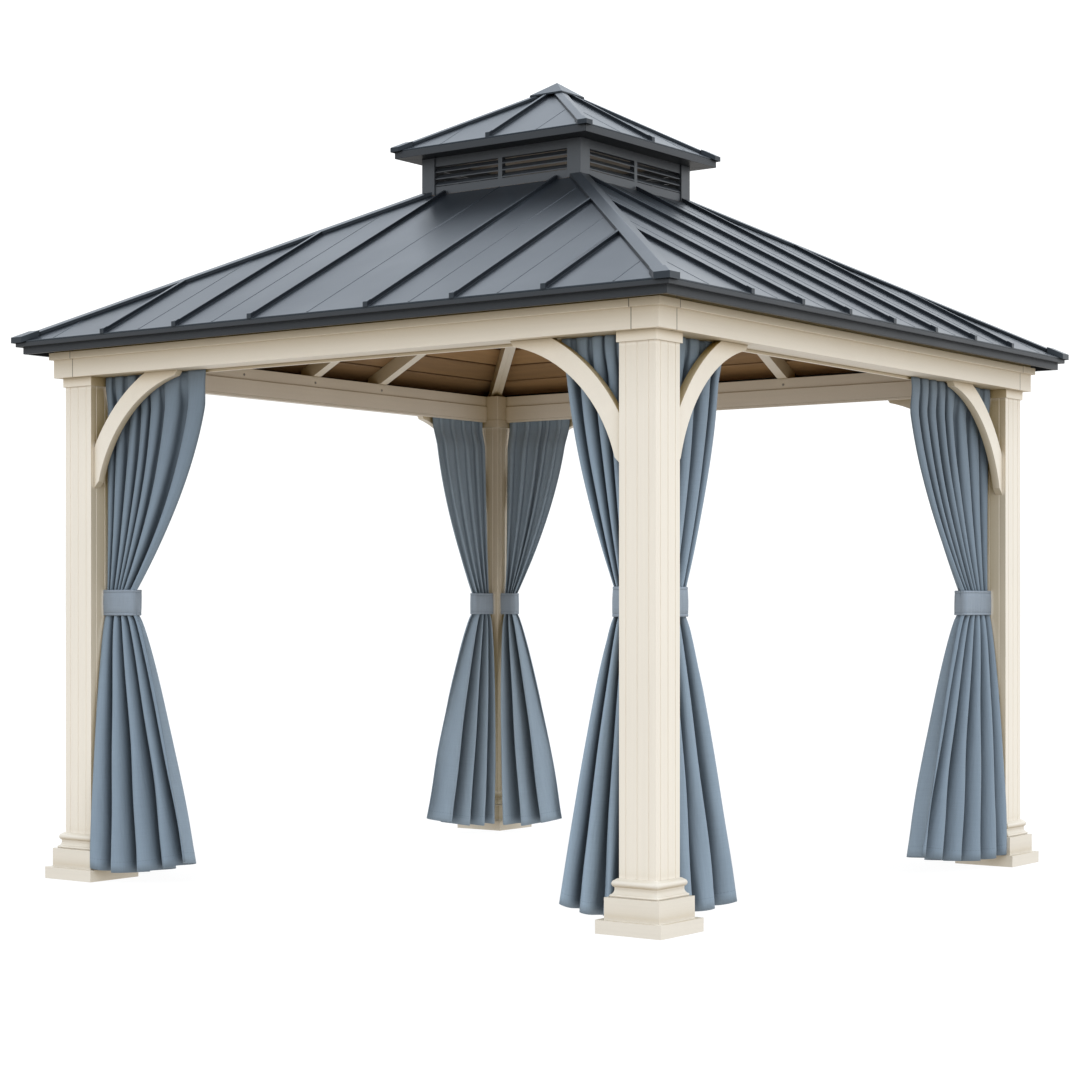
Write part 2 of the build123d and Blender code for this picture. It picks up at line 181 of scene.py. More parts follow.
def metre_place(tree):
    """The piece's own map, in metres."""
    return node(tree, "UVMap", {}, uv_map="metres").outputs["UV"]


def own_tone(tree):
    """The number that each vertex of the piece carries."""
    return node(tree, "Attribute", {}, attribute_name="tone").outputs["Fac"]


def noise(tree, place, scale, detail, roughness=noise_roughness):
    """A noise value between 0 and 1."""
    inputs = {"Vector": place, "Scale": scale, "Detail": detail, "Roughness": roughness}
    return node(tree, "TexNoise", inputs).outputs[0]


def object_noise(tree, kind, stretch=even):
    """A noise over the object's own coordinates."""
    place = node(tree, "TexCoord", {}).outputs["Object"]
    return noise(tree, stretched(tree, place, stretch), *kind)


def between(tree, value, low, high):
    """A value from 0 to 1 stretched to a range."""
    inputs = {0: value, 1: 0.0, 2: 1.0, 3: low, 4: high}
    return node(tree, "MapRange", inputs).outputs[0]


def eased(tree, value, span, ends=(0.0, 1.0)):
    """A value that eases from one end to the other over a span."""
    inputs = {0: value, 1: span[0], 2: span[1], 3: ends[0], 4: ends[1]}
    return node(tree, "MapRange", inputs, interpolation_type="SMOOTHSTEP").outputs[0]


def mixed(tree, share, first, second):
    """A colour between two others."""
    return node(tree, "Mix", {0: share, 6: first, 7: second}, data_type="RGBA").outputs[2]


def shaded(tree, colour, amount):
    """A colour made lighter or darker by an amount around 1."""
    return node(tree, "VectorMath", {0: colour, 1: amount}, operation="MULTIPLY").outputs[0]


def bump(tree, shader, height, strength, distance, normal=None):
    """A bump from a height value, on top of an earlier one if given."""
    inputs = {"Height": height, "Strength": strength, "Distance": distance}
    if normal:
        inputs["Normal"] = normal
    made = node(tree, "Bump", inputs)
    feed(tree, shader, {"Normal": made.outputs["Normal"]})
    return made.outputs["Normal"]


def closeness(tree, distance, samples=open_samples, alone=False):
    """How open a spot is: 1 in the open, less in a crease and, unless it counts alone, beside others."""
    made = node(tree, "AmbientOcclusion", {"Distance": distance}, samples=samples, only_local=alone)
    return made.outputs["AO"]


cream = (0.785, 0.714, 0.607)
grain_noise = (1.0, 5.0, 0.6)
grain_tones = (0.945, 1.045)
grain_bump = (0.10, 0.0006)
cream_cloud_noise = (2.2, 2.0)
cream_cloud_tones = (0.975, 1.025)
cream_roughness = (0.40, 0.56)
peel_noise = (900.0, 2.0)
peel_bump = (0.04, 0.0003)
# Painted shade: crevices are darkened by these shares, less on the bases; on the posts the grooves are
# painted slightly lighter instead.
crevice_reach = 0.016
painted_crevice_shade = (0.72, 1.0)
groove_painted_light = (1.06, 1.0)
base_painted_crevice_shade = (0.88, 1.0)
# Painted shade: sheltered spots, such as faces under the roof and beside the curtains, are darkened and
# warmed towards the shelter colour.
shelter_reach = 0.40
painted_shelter_shade = (0.44, 0.315, 0.07, 1)
# Painted shade: the posts and the bases take slightly darker copies of the same cream.
post_painted_shade = 0.985
base_painted_shade = 0.90


def cream_paint(name, stretch, shade=1.0, creases=painted_crevice_shade, clear_grooves=False):
    """Cream powder coat over a faint brushed grain that runs along one direction, with painted shade in
    crevices and sheltered spots.
    """
    made, tree, shader = new_material(name)
    grain = object_noise(tree, grain_noise, stretch)
    cloud = object_noise(tree, cream_cloud_noise)
    near = closeness(tree, crevice_reach)
    opening = closeness(tree, shelter_reach)
    if clear_grooves:
        opening = math_node(tree, "ADD", opening, math_node(tree, "SUBTRACT", 1.0, near))
    tones = (between(tree, grain, *grain_tones), between(tree, cloud, *cream_cloud_tones))
    tone = product(tree, *tones, between(tree, near, *creases), shade)
    # Painted shade: the warm shelter colour where the spot is sheltered, white in the open; cleared grooves
    # are kept out of it.
    tint = mixed(tree, opening, painted_shelter_shade, white)
    feed(tree, shader, {
        "Base Color": shaded(tree, shaded(tree, cream, tone), tint),
        "Roughness": between(tree, grain, *cream_roughness),
    })
    normal = bump(tree, shader, grain, *grain_bump)
    bump(tree, shader, object_noise(tree, peel_noise), *peel_bump, normal)
    return made


charcoal = (0.017, 0.0195, 0.023)
# Painted light: the cupola's posts and louvres take a lighter copy of the same charcoal, with stronger
# reflection.
lit_charcoal = (0.031, 0.035, 0.040)
charcoal_gloss = (0.92, 0.96, 1.0, 1)
charcoal_fleck_noise = (700.0, 2.0)
charcoal_cloud_noise = (3.0, 3.0)
charcoal_tones = (0.86, 1.14)
charcoal_roughness = (0.36, 0.50)
charcoal_bump = (0.10, 0.0004)
# Painted shade on the reflection: the specular level falls from the second number to the first as a spot
# gets sheltered within the reach below.
gloss_shade_levels = (0.12, 0.46)
open_gloss_shade_levels = (0.42, 0.80)
gloss_shade_reach = 0.30


def charcoal_paint(name, colour, levels):
    """Charcoal satin powder coat with a fine texture; its reflection is painted weaker in sheltered spots.
    """
    made, tree, shader = new_material(name)
    fleck = object_noise(tree, charcoal_fleck_noise)
    cloud = object_noise(tree, charcoal_cloud_noise)
    tone = product(tree, between(tree, fleck, *charcoal_tones), between(tree, cloud, *charcoal_tones))
    feed(tree, shader, {
        "Base Color": shaded(tree, colour, tone),
        "Roughness": between(tree, cloud, *charcoal_roughness),
        "Specular IOR Level": between(tree, closeness(tree, gloss_shade_reach), *levels),
        "Specular Tint": charcoal_gloss,
    })
    bump(tree, shader, fleck, *charcoal_bump)
    return made


slate = (0.0115, 0.0135, 0.0165)
slate_gloss = (0.72, 0.86, 1.0, 1)
slate_cloud_noise = (1.7, 3.0)
slate_cloud_tones = (0.85, 1.15)
slate_fleck_noise = (800.0, 2.0)
slate_fleck_tones = (0.92, 1.08)
slate_fleck_bump = (0.04, 0.0003)
slate_wave_noise = (2.6, 1.0)
slate_wave_bump = (0.12, 0.010)
slate_roughness = (0.24, 0.36)
# Painted shade on the reflection: the sheet's specular level falls to nothing where it is sheltered within
# the reach below, as near the cupola.
sheet_gloss_shade_levels = (0.0, 0.46)
sheet_gloss_shade_reach = 1.1
sheet_power_share = 1.5


def roof_paint(name):
    """Slate grey coated steel sheet: a satin film, slightly uneven where the sheet is not quite flat, with
    its reflection painted weaker where it is sheltered.
    """
    made, tree, shader = new_material(name)
    cloud = object_noise(tree, slate_cloud_noise)
    fleck = object_noise(tree, slate_fleck_noise)
    tone = product(tree, between(tree, fleck, *slate_fleck_tones), between(tree, cloud, *slate_cloud_tones))
    opening = math_node(tree, "POWER", closeness(tree, sheet_gloss_shade_reach), sheet_power_share)
    feed(tree, shader, {
        "Base Color": shaded(tree, slate, tone),
        "Roughness": between(tree, cloud, *slate_roughness),
        "Specular IOR Level": between(tree, opening, *sheet_gloss_shade_levels),
        "Specular Tint": slate_gloss,
    })
    normal = bump(tree, shader, object_noise(tree, slate_wave_noise), *slate_wave_bump)
    bump(tree, shader, fleck, *slate_fleck_bump, normal)
    return made


curtain_blue = (0.188, 0.240, 0.291)
# Painted light: the curtains' inner face is a lighter copy of the same cloth, with softer painted fold
# shade.
painted_light_inside_blue = (0.300, 0.377, 0.452)
tie_blue = (0.218, 0.254, 0.295)
cloth_roughness = 0.62
cloth_gloss = 0.35
cloth_sheen = 0.10
sheen_roughness = 0.45
sheen_tint = (0.75, 0.85, 0.95, 1)
thread = 0.0012
weave_tones = (1.0, 1.06)
weave_share = 0.5
weave_bump = (0.25, 0.0004)
yarn_stretches = ((420, 9, 1), (9, 420, 1))
yarn_noise = (1.0, 3.0)
yarn_tones = (0.80, 1.20)
cloth_cloud_noise = (4.0, 3.0)
cloth_cloud_tones = (0.95, 1.05)
rumple_stretch = (26, 3.2, 1)
rumple_noise = (1.0, 3.0)
rumple_bump = (0.6, 0.010)
stitch = 0.007
stitch_share = 0.68
stitch_width = 0.0022
stitch_tones = (1.0, 0.80)
stitch_bump = (0.5, -0.0006)
# Painted shade and highlight: the cloth is darkened in fold hollows and lightened on open crests, from its
# own openness within the reach.
fold_shade_reach = 0.085
fold_power_share = 1.05
fold_shares = (0.16, 1.12)
inside_fold_shares = (0.34, 0.96)
# Painted shade: the cloth darkens from the first to the second share as it rises between these heights above
# the hem, under the roof.
heading_span = (1.15, 2.1)
painted_heading_shade = (1.0, 0.76)
inside_painted_heading_shade = (0.95, 0.86)


def sewn_lines(tree, across, along, hem_lines):
    """1 on the stitches of the hems, and 0 elsewhere."""
    on_line = 0.0
    for hem in hem_lines:
        off = math_node(tree, "ABSOLUTE", math_node(tree, "SUBTRACT", along, hem))
        on_line = math_node(tree, "ADD", on_line, math_node(tree, "LESS_THAN", off, stitch_width / 2))
    dash = math_node(tree, "FRACT", math_node(tree, "DIVIDE", across, stitch))
    return product(tree, on_line, math_node(tree, "LESS_THAN", dash, stitch_share))


def cloth(name, colour, hem_lines, folds=fold_shares, headings=painted_heading_shade):
    """Woven cloth: crossing threads, uneven yarn, a soft sheen, a sewn line along each hem, and painted
    shade: darker in fold hollows and towards the top, lighter on crests, scaled by each piece's tone.
    """
    made, tree, shader = new_material(name)
    place = metre_place(tree)
    parts = node(tree, "SeparateXYZ", {"Vector": place})
    across, along = parts.outputs["X"], parts.outputs["Y"]
    threads = [math_node(tree, "SINE", product(tree, way, 2 * math.pi / thread)) for way in (across, along)]
    weave = product(tree, *threads)
    yarns = [noise(tree, stretched(tree, place, stretch), *yarn_noise) for stretch in yarn_stretches]
    yarn = math_node(tree, "ADD", *yarns)
    sewn = sewn_lines(tree, across, along, hem_lines)
    # Painted shade and highlight from the fold's openness, and painted shade towards the top.
    depth = math_node(tree, "POWER", closeness(tree, fold_shade_reach, fold_samples, True), fold_power_share)
    tone = product(
        tree,
        between(tree, product(tree, yarn, 1 / len(yarns)), *yarn_tones),
        between(tree, noise(tree, place, *cloth_cloud_noise), *cloth_cloud_tones),
        between(tree, weave, *weave_tones),
        between(tree, depth, *folds),
        between(tree, sewn, *stitch_tones),
        eased(tree, along, heading_span, headings),
        own_tone(tree),
    )
    feed(tree, shader, {
        "Base Color": shaded(tree, colour, tone),
        "Roughness": cloth_roughness,
        "Specular IOR Level": cloth_gloss,
        "Sheen Weight": cloth_sheen,
        "Sheen Roughness": sheen_roughness,
        "Sheen Tint": sheen_tint,
    })
    rumple = noise(tree, stretched(tree, place, rumple_stretch), *rumple_noise)
    normal = bump(tree, shader, math_node(tree, "ADD", product(tree, weave, weave_share), yarn), *weave_bump)
    normal = bump(tree, shader, rumple, *rumple_bump, normal)
    bump(tree, shader, sewn, *stitch_bump, normal)
    return made


wood = (0.31, 0.177, 0.075)
# Painted shade: a darker copy of the wood for the cupola's ceiling, which sits in shade.
painted_shade_wood = (0.085, 0.068, 0.047)
figure_noise = (1.0, 5.0)
figure_distortion = 0.6
figure_tones = (0.68, 1.32)
plain_figure_tones = (0.7, 1.3)
board_figure_stretch = (2.2, 34, 1)
plain_figure_stretch = (2.2, 34, 34)
fibre_noise = (1.0, 3.0)
fibre_tones = (0.9, 1.1)
fibre_bump = (0.15, 0.0005)
board_fibre_stretch = (7, 260, 1)
plain_fibre_stretch = (7, 260, 260)
board_roughness = (0.45, 0.6)
plain_wood_roughness = 0.5


def wood_boards(name):
    """Brown wood-look boards: long grain along each board, and its own tone."""
    made, tree, shader = new_material(name)
    place = metre_place(tree)
    scale, detail = figure_noise
    inputs = {"Vector": stretched(tree, place, board_figure_stretch), "Scale": scale, "Detail": detail}
    figure = node(tree, "TexNoise", {**inputs, "Distortion": figure_distortion}).outputs[0]
    fibre = noise(tree, stretched(tree, place, board_fibre_stretch), *fibre_noise)
    tones = (between(tree, figure, *figure_tones), between(tree, fibre, *fibre_tones))
    feed(tree, shader, {
        "Base Color": shaded(tree, wood, product(tree, *tones, own_tone(tree))),
        "Roughness": between(tree, fibre, *board_roughness),
    })
    bump(tree, shader, fibre, *fibre_bump)
    return made


def plain_wood(name, colour):
    """The same wood-look finish on the plain boards of the curb and the cupola's ceiling, the ceiling's copy
    darker as painted shade.
    """
    made, tree, shader = new_material(name)
    figure = object_noise(tree, figure_noise, plain_figure_stretch)
    fibre = object_noise(tree, fibre_noise, plain_fibre_stretch)
    tone = product(tree, between(tree, figure, *plain_figure_tones), between(tree, fibre, *fibre_tones))
    feed(tree, shader, {"Base Color": shaded(tree, colour, tone), "Roughness": plain_wood_roughness})
    bump(tree, shader, fibre, *fibre_bump)
    return made


zinc_grey = (0.30, 0.285, 0.26)
zinc_noise = (60.0, 3.0)
zinc_tones = (0.75, 1.25)
zinc_roughness = (0.35, 0.55)
zinc_metal = 0.8


def zinc(name):
    """Plated steel of small screws."""
    made, tree, shader = new_material(name)
    cloud = object_noise(tree, zinc_noise)
    feed(tree, shader, {
        "Base Color": shaded(tree, zinc_grey, between(tree, cloud, *zinc_tones)),
        "Roughness": between(tree, cloud, *zinc_roughness),
        "Metallic": zinc_metal,
    })
    return made


sealant_brown = (0.16, 0.14, 0.115)
sealant_noise = (90.0, 3.0)
sealant_tones = (0.8, 1.2)
sealant_roughness = (0.6, 0.8)


def sealant(name):
    """Dark brown sealant in the joints of the beams."""
    made, tree, shader = new_material(name)
    cloud = object_noise(tree, sealant_noise)
    feed(tree, shader, {
        "Base Color": shaded(tree, sealant_brown, between(tree, cloud, *sealant_tones)),
        "Roughness": between(tree, cloud, *sealant_roughness),
    })
    return made


floor_grey = (0.10, 0.10, 0.10)
floor_noise = (0.8, 2.0)
floor_tones = (0.99, 1.01)
floor_roughness = 0.9
floor_glow = 0.94


def pale_floor(name):
    """A pale studio floor that is lit from below, so it stays light under the roof."""
    made, tree, shader = new_material(name)
    cloud = object_noise(tree, floor_noise)
    feed(tree, shader, {
        "Base Color": shaded(tree, floor_grey, between(tree, cloud, *floor_tones)),
        "Roughness": floor_roughness,
        "Specular IOR Level": 0.0,
        "Emission Color": white,
        "Emission Strength": floor_glow,
    })
    return made


# Grain of the cream paint along each direction, and the hems of the cloth
grain_up = (70, 70, 1.6)
grain_level = (2.2, 2.2, 110)
grain_x = (1.6, 70, 70)
grain_y = (70, 1.6, 70)
grain_even = (24, 24, 24)
curtain_hem = 0.045
tie_hem = 0.011
# Painted shade of the curtains' inner face: its fold shade and its shade towards the top.
inside_painted_shading = (inside_fold_shares, inside_painted_heading_shade)

finishes = {
    # Posts and bases are darker copies as painted shade; the posts' grooves are painted lighter and both are
    # kept clear of the shelter shade.
    "cream_up": cream_paint("cream_paint_up", grain_up, post_painted_shade, groove_painted_light, True),
    "cream_base": cream_paint("cream_paint_base", grain_level, base_painted_shade, base_painted_crevice_shade, True),
    "cream_level": cream_paint("cream_paint_level", grain_level),
    "cream_x": cream_paint("cream_paint_x", grain_x),
    "cream_y": cream_paint("cream_paint_y", grain_y),
    "cream_even": cream_paint("cream_paint_even", grain_even),
    "charcoal": charcoal_paint("charcoal_paint", charcoal, gloss_shade_levels),
    # Painted light: a lighter, glossier copy of the charcoal for the cupola's uprights.
    "charcoal_upright": charcoal_paint("charcoal_upright_paint", lit_charcoal, open_gloss_shade_levels),
    "slate": roof_paint("slate_roof"),
    "curtain": cloth("curtain_cloth", curtain_blue, (curtain_hem,)),
    # Painted light: the lighter copy on the curtains' inner face.
    "curtain_inside": cloth("curtain_inside_cloth", painted_light_inside_blue, (curtain_hem,), *inside_painted_shading),
    "tie": cloth("tie_cloth", tie_blue, (tie_hem, tie_height - tie_hem)),
    "boards": wood_boards("ceiling_boards"),
    "wood": plain_wood("ceiling_wood", wood),
    "painted_shade_wood": plain_wood("cupola_wood", painted_shade_wood),
    "zinc": zinc("plated_steel"),
    "seam": sealant("joint_sealant"),
    "floor": pale_floor("pale_floor"),
}

# Finish of the carried-over nodes, by the start of the node's name
node_finishes = (
    ("post_bases", "cream_base"),
    ("post_collars", "cream_level"),
    ("post_", "cream_up"),
    ("beam_front", "cream_x"),
    ("beam_back", "cream_x"),
    ("beam_corner", "cream_level"),
    ("beam_", "cream_y"),
    ("braces_", "cream_even"),
    ("curtain_rails", "cream_even"),
    ("hip_rafters", "cream_even"),
    ("jack_rafters", "cream_even"),
    ("eave_", "charcoal"),
    ("cupola_posts", "charcoal_upright"),
    ("cupola_louvres", "charcoal_upright"),
    ("cupola_eave", "charcoal"),
    ("roof_", "slate"),
    ("hip_caps", "slate"),
    ("cupola_roof", "slate"),
    ("cupola_hip_caps", "slate"),
    ("cupola_cap", "slate"),
    ("cupola_ceiling", "painted_shade_wood"),
    ("cupola_curb", "wood"),
)
fine_starts = ("post_front", "post_back", "cupola_louvres")

edge_round = 0.0016
fine_edge_round = 0.0007
edge_angle = math.radians(32)
edge_steps = 2
weld_distance = 0.00005


def round_edges(piece, width):
    """Small rounds on a solid's sharp edges."""
    weld = piece.modifiers.new("weld", "WELD")
    weld.merge_threshold = weld_distance
    bevel = piece.modifiers.new("edges", "BEVEL")
    bevel.width = width
    bevel.segments = edge_steps
    bevel.limit_method = "ANGLE"
    bevel.angle_limit = edge_angle


def dress_nodes():
    """A finish and rounded edges for each node that stays in sight."""
    for name, piece in nodes.items():
        found = [finish for start, finish in node_finishes if name.startswith(start)]
        if not found:
            continue
        piece.data.materials.clear()
        piece.data.materials.append(finishes[found[0]])
        round_edges(piece, fine_edge_round if name.startswith(fine_starts) else edge_round)


# Curtains
# Folds of each drape, of its skirt below the tie-back, and the part of a fold that the drape starts with
fold_shares_of = {
    "front_left": (6.65, 4.1, 0.5),
    "front_right": (4.65, 3.1, 0.5),
    "right_front": (4.65, 3.1, 0.5),
    "right_back": (7.65, 5.1, 0.5),
    "back_right": (4.65, 3.1, 0.5),
    "back_left": (5.2, 3.1, 0.0),
    "left_back": (5.2, 4.1, 0.0),
    "left_front": (4.65, 3.1, 0.5),
}
# How each skirt hangs: out at the post and at the free edge, drawn in at the post, lifted at the free edge
skirt_sways = {
    "front_left": (0.080, -0.075, 0.0, 0.040),
    "front_right": (-0.04, 0.02, 0.0, 0.022),
    "right_front": (-0.04, 0.0, 0.0, 0.0),
    "right_back": (0.060, -0.055, 0.0, 0.036),
    "back_right": (-0.03, 0.0, 0.0, 0.01),
    "back_left": (-0.15, 0.03, 0.053, 0.006),
    "left_back": (-0.10, 0.05, 0.062, 0.018),
    "left_front": (-0.03, 0.0, 0.0, 0.01),
}
# How much narrower the skirt's folds get towards the free edge
skirt_narrowing_shares = {"front_left": 0.75, "right_back": 0.15}
# How light each curtain's cloth is beside the others: painted light and shade, making one piece of the same
# cloth lighter or darker.
curtain_painted_light_shares = {"front_left": 0.97, "front_right": 1.26, "right_front": 1.10, "right_back": 0.90}
# How the folds wander down the cloth: strength, turns with the height and turns across
drift_waves = ((1.0, 5, 4), (0.5, 11, 9))
drift_turns = 0.05
level_tolerance = 0.001
gather_power_share = 1.65
flare_power_share = 0.85
columns_per_fold = 22
spare_folds = 2
skirt_start = -0.06
omega_share = 0.062
lean_share = 0.085
drape_width_shares = (0.5, 1.5)
skirt_width_shares = (0.82, 1.18)
drape_depth_shares = (0.5, 1.0)
skirt_depth_shares = (0.78, 1.0)
shallow_drapes = ("back_left", "left_back")
shallow_drape_shares = (0.3, 0.6)
shallow_skirts = ("front_right", "right_front")
shallow_skirt_shares = (0.44, 0.64)
drape_reach_share = 0.98
skirt_reach_share = 0.74
sway_power_share = 1.3
sway_fall_share = 0.65
middle_drop = 0.020
drape_widening_share = 0.3
heading_amplitude = 0.0095
heading_gap = 0.0016
heading_full = 0.035
heading_end = 0.16
free_radius = 0.019
band_room = 0.0026
cloth_top_gap = 0.0015
cloth_thickness = 0.0034
cloth_thin_share = 0.45
side_hem_share = 0.022
drape_rows = 46
drape_row_power_share = 1.6
band_rows = 5
skirt_rows = 34
skirt_row_power_share = 1.3
hem_wave = 0.003
hem_power_share = 8
first_seed = 3
side_seeds = 10
tie_seed = 100


def packed_section(name, count, flip, height):
    """A packed curtain's section at a height: post edge, free edge, inner and outer depth."""
    across, depths = [], []
    for vertex in nodes[name].data.vertices:
        if abs(vertex.co.z - height) < level_tolerance:
            spot = brought_back(vertex.co, count, flip)
            across.append(spot.x)
            depths.append(-spot.y)
    return max(across), min(across), min(depths), max(depths)


def between_sections(first, second, shares):
    """A section between two others, by a share for the post edge, the free edge and the two depths."""
    return [a + share * (b - a) for a, b, share in zip(first, second, shares)]


def fold_line(count, start, columns, chance, width_shares, depth_shares, widening_share):
    """A row of uneven folds: for each column its turns, its share of the spread and its fold's depth."""
    folds = math.ceil(count) + spare_folds
    widths = [chance.uniform(*width_shares) for _ in range(folds)]
    widths = [width * (1 + widening_share * (fold / count - 0.5)) for fold, width in enumerate(widths)]
    depths = [chance.uniform(*depth_shares) for _ in range(folds)]
    line = []
    place = 0
    for column in range(columns + 1):
        turns = count * column / columns
        fold = int(turns)
        share = smooth_step(0, 1, turns - fold)
        width = widths[fold] + share * (widths[fold + 1] - widths[fold])
        depth = depths[fold] + share * (depths[fold + 1] - depths[fold])
        angle = 2 * math.pi * (start + turns)
        bulge = width * columns / count * (omega_share * math.sin(2 * angle) + lean_share * math.sin(angle))
        line.append([start + turns, place + bulge, depth])
        place += width
    low = min(entry[1] for entry in line)
    high = max(entry[1] for entry in line)
    for entry in line:
        entry[1] = (entry[1] - low) / (high - low)
    return line


def curtain_lines(name, chance):
    """The folds of a curtain's drape and of its skirt, in as many columns."""
    drape_count, skirt_count, drape_start = fold_shares_of[name]
    columns = round(max(drape_count, skirt_count) * columns_per_fold)
    drape_depths = shallow_drape_shares if name in shallow_drapes else drape_depth_shares
    skirt_depths = shallow_skirt_shares if name in shallow_skirts else skirt_depth_shares
    drape_kind = (drape_width_shares, drape_depths, drape_widening_share)
    skirt_kind = (skirt_width_shares, skirt_depths, -skirt_narrowing_shares.get(name, 0))
    drape_line = fold_line(drape_count, drape_start, columns, chance, *drape_kind)
    skirt_line = fold_line(skirt_count, skirt_start, columns, chance, *skirt_kind)
    return drape_line, skirt_line


def row_heights(top, hem):
    """Heights of the cloth's rows, closer together at the heading and around the tie-back."""
    heights = []
    for row in range(drape_rows):
        share = row / drape_rows
        heights.append(top + (tie_high.z - top) * (share + share**drape_row_power_share) / 2)
    for row in range(band_rows):
        heights.append(tie_high.z + (tie_low.z - tie_high.z) * row / band_rows)
    for row in range(skirt_rows + 1):
        share = row / skirt_rows
        heights.append(tie_low.z + (hem - tie_low.z) * (share + share**skirt_row_power_share) / 2)
    return heights


def corner_room(half, distance):
    """How far a fold may stand off the middle, so far from its free edge, inside a band's corner."""
    room = half - cloth_thickness / 2 - band_room
    distance = max(0, distance - band_room)
    if distance < free_radius:
        room -= free_radius - math.sqrt(free_radius**2 - (free_radius - distance) ** 2)
    return room


def drape_point(entry, section, height, top, drift):
    """A point of the drape: pinched heading in front of the rail, then deep folds down to the tie-back."""
    turns, place, depth = entry
    edge, free, inner, outer = section
    angle = 2 * math.pi * (turns + drift)
    half = (outer - inner) / 2
    reach = min(half * drape_reach_share * depth, corner_room(half, (edge - free) * (1 - place)))
    deep = (inner + outer) / 2 + reach * math.cos(angle)
    heading = 1 - smooth_step(heading_full, heading_end, top - height)
    head_deep = rail_front + heading_gap + heading_amplitude * (1 + math.cos(angle))
    deep += heading * (head_deep - deep)
    return Vector((edge - (edge - free) * place, -deep, height))


def skirt_point(entry, section, height, fall, drift, sways):
    """A point of the skirt: wide folds that open towards the hem and sway off the curtain's plane."""
    turns, place, depth = entry
    edge, free, inner, outer = section
    post_sway, free_sway, draw, free_lift = sways
    angle = 2 * math.pi * (turns + drift)
    half = (outer - inner) / 2
    share = (1 - math.cos(math.pi * place**sway_power_share)) / 2
    sway = fall**sway_fall_share * (post_sway + share * (free_sway - post_sway))
    reach_share = drape_reach_share + fall * (skirt_reach_share - drape_reach_share)
    edge -= draw * fall
    reach = min(half * reach_share * depth, corner_room(half, (edge - free) * (1 - place)))
    deep = (inner + outer) / 2 + sway + reach * math.cos(angle)
    lift = free_lift * place**2 - middle_drop * math.sin(math.pi * place)
    spot = height + lift * fall + hem_wave * fall**hem_power_share * math.cos(angle)
    return Vector((edge - (edge - free) * place, -deep, spot))


def drift_at(phases, height, share):
    """How far the folds have wandered at a spot."""
    drift = 0
    for (strength, rise, run), phase in zip(drift_waves, phases):
        drift += strength * math.sin(rise * height + phase + run * share)
    return drift


def curtain_row(name, height, ends, sections, lines, phases):
    """One row of cloth: the drape above the band, the skirt below it and a blend inside it."""
    top, hem = ends
    top_section, waist_section, hem_section = sections
    down = min(1, (top - height) / (top - tie_high.z))
    fall = max(0, (tie_low.z - height) / (tie_low.z - hem))
    below = smooth_step(-tie_high.z, -tie_low.z, -height)
    gather = down**gather_power_share
    flare = fall**flare_power_share
    above_section = between_sections(top_section, waist_section, (down, gather, down, down))
    below_section = between_sections(waist_section, hem_section, (fall, flare, flare, flare))
    row = []
    for column, (drape_entry, skirt_entry) in enumerate(zip(*lines)):
        share = column / (len(lines[0]) - 1)
        drift = drift_turns * (1 - down + fall) * drift_at(phases, height, share)
        upper = drape_point(drape_entry, above_section, height, top, drift)
        lower = skirt_point(skirt_entry, below_section, height, fall, drift, skirt_sways[name])
        row.append(upper.lerp(lower, below))
    return row


def hem_weight(share, height, ends):
    """A spot's share of the thickness: full along the hems, less between them."""
    top, hem = ends
    at_hem = height - hem < curtain_hem or height > top - curtain_hem
    at_side = min(share, 1 - share) < side_hem_share
    return 1.0 if at_hem or at_side else cloth_thin_share


def cut_width(points, wide):
    """The width of cloth a curtain takes: the mean length of its rows."""
    total = 0
    for index in range(len(points) - 1):
        if (index + 1) % wide:
            total += (points[index + 1] - points[index]).length
    return total / (len(points) / wide)


def sheet_faces(rows, wide, flip):
    """The faces of a sheet of so many rows, turned over where it is mirrored."""
    faces = []
    for row in range(rows - 1):
        for column in range(wide - 1):
            first = row * wide + column
            face = (first, first + 1, first + wide + 1, first + wide)
            faces.append(face[::-1] if flip else face)
    return faces


def make_curtain(name, count, flip, seed):
    """One gathered curtain, sewn from a single width of cloth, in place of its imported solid."""
    chance = random.Random(seed)
    node_name = "curtain_" + name
    node_low, node_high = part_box(node_name)
    top = beam_underside - cloth_top_gap
    hem = node_low.z
    levels = (node_high.z, tie_high.z, hem)
    sections = [packed_section(node_name, count, flip, level) for level in levels]
    lines = curtain_lines(name, chance)
    phases = [chance.uniform(0, 2 * math.pi) for _ in drift_waves]
    wide = len(lines[0])
    heights = row_heights(top, hem)
    spots = [(column / (wide - 1), height) for height in heights for column in range(wide)]
    points = []
    for height in heights:
        row = curtain_row(name, height, (top, hem), sections, lines, phases)
        points += [placed(point, count, flip) for point in row]
    cut = cut_width(points, wide)
    faces = sheet_faces(len(heights), wide, flip)
    piece = add_piece("cloth_" + name, points, faces, finishes["curtain"], True)
    # Painted light: the cloth's back shell takes the lighter inner copy.
    piece.data.materials.append(finishes["curtain_inside"])
    add_uvs(piece, [(share * cut, height - hem) for share, height in spots])
    # Painted light and shade: each curtain's lightness, read by its material.
    add_tones(piece, [curtain_painted_light_shares.get(name, 1.0)] * len(points))
    group = piece.vertex_groups.new(name="thickness")
    for index, (share, height) in enumerate(spots):
        group.add([index], hem_weight(share, height, (top, hem)), "REPLACE")
    solid = add_thickness(piece, cloth_thickness, 0)
    solid.material_offset = 1
    solid.vertex_group = group.name
    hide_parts(node_name)
    return sections[1]


# Tie-backs: a sewn band round each waist, flat against the post
band_gap = 0.0006
band_thickness = 0.0044
post_radius = 0.007
arc_steps = 8
straight_steps = 10
band_wave = 0.0009
band_ripple = 0.017
band_swell = 0.041
band_middle_share = 0.4
band_twist = 3
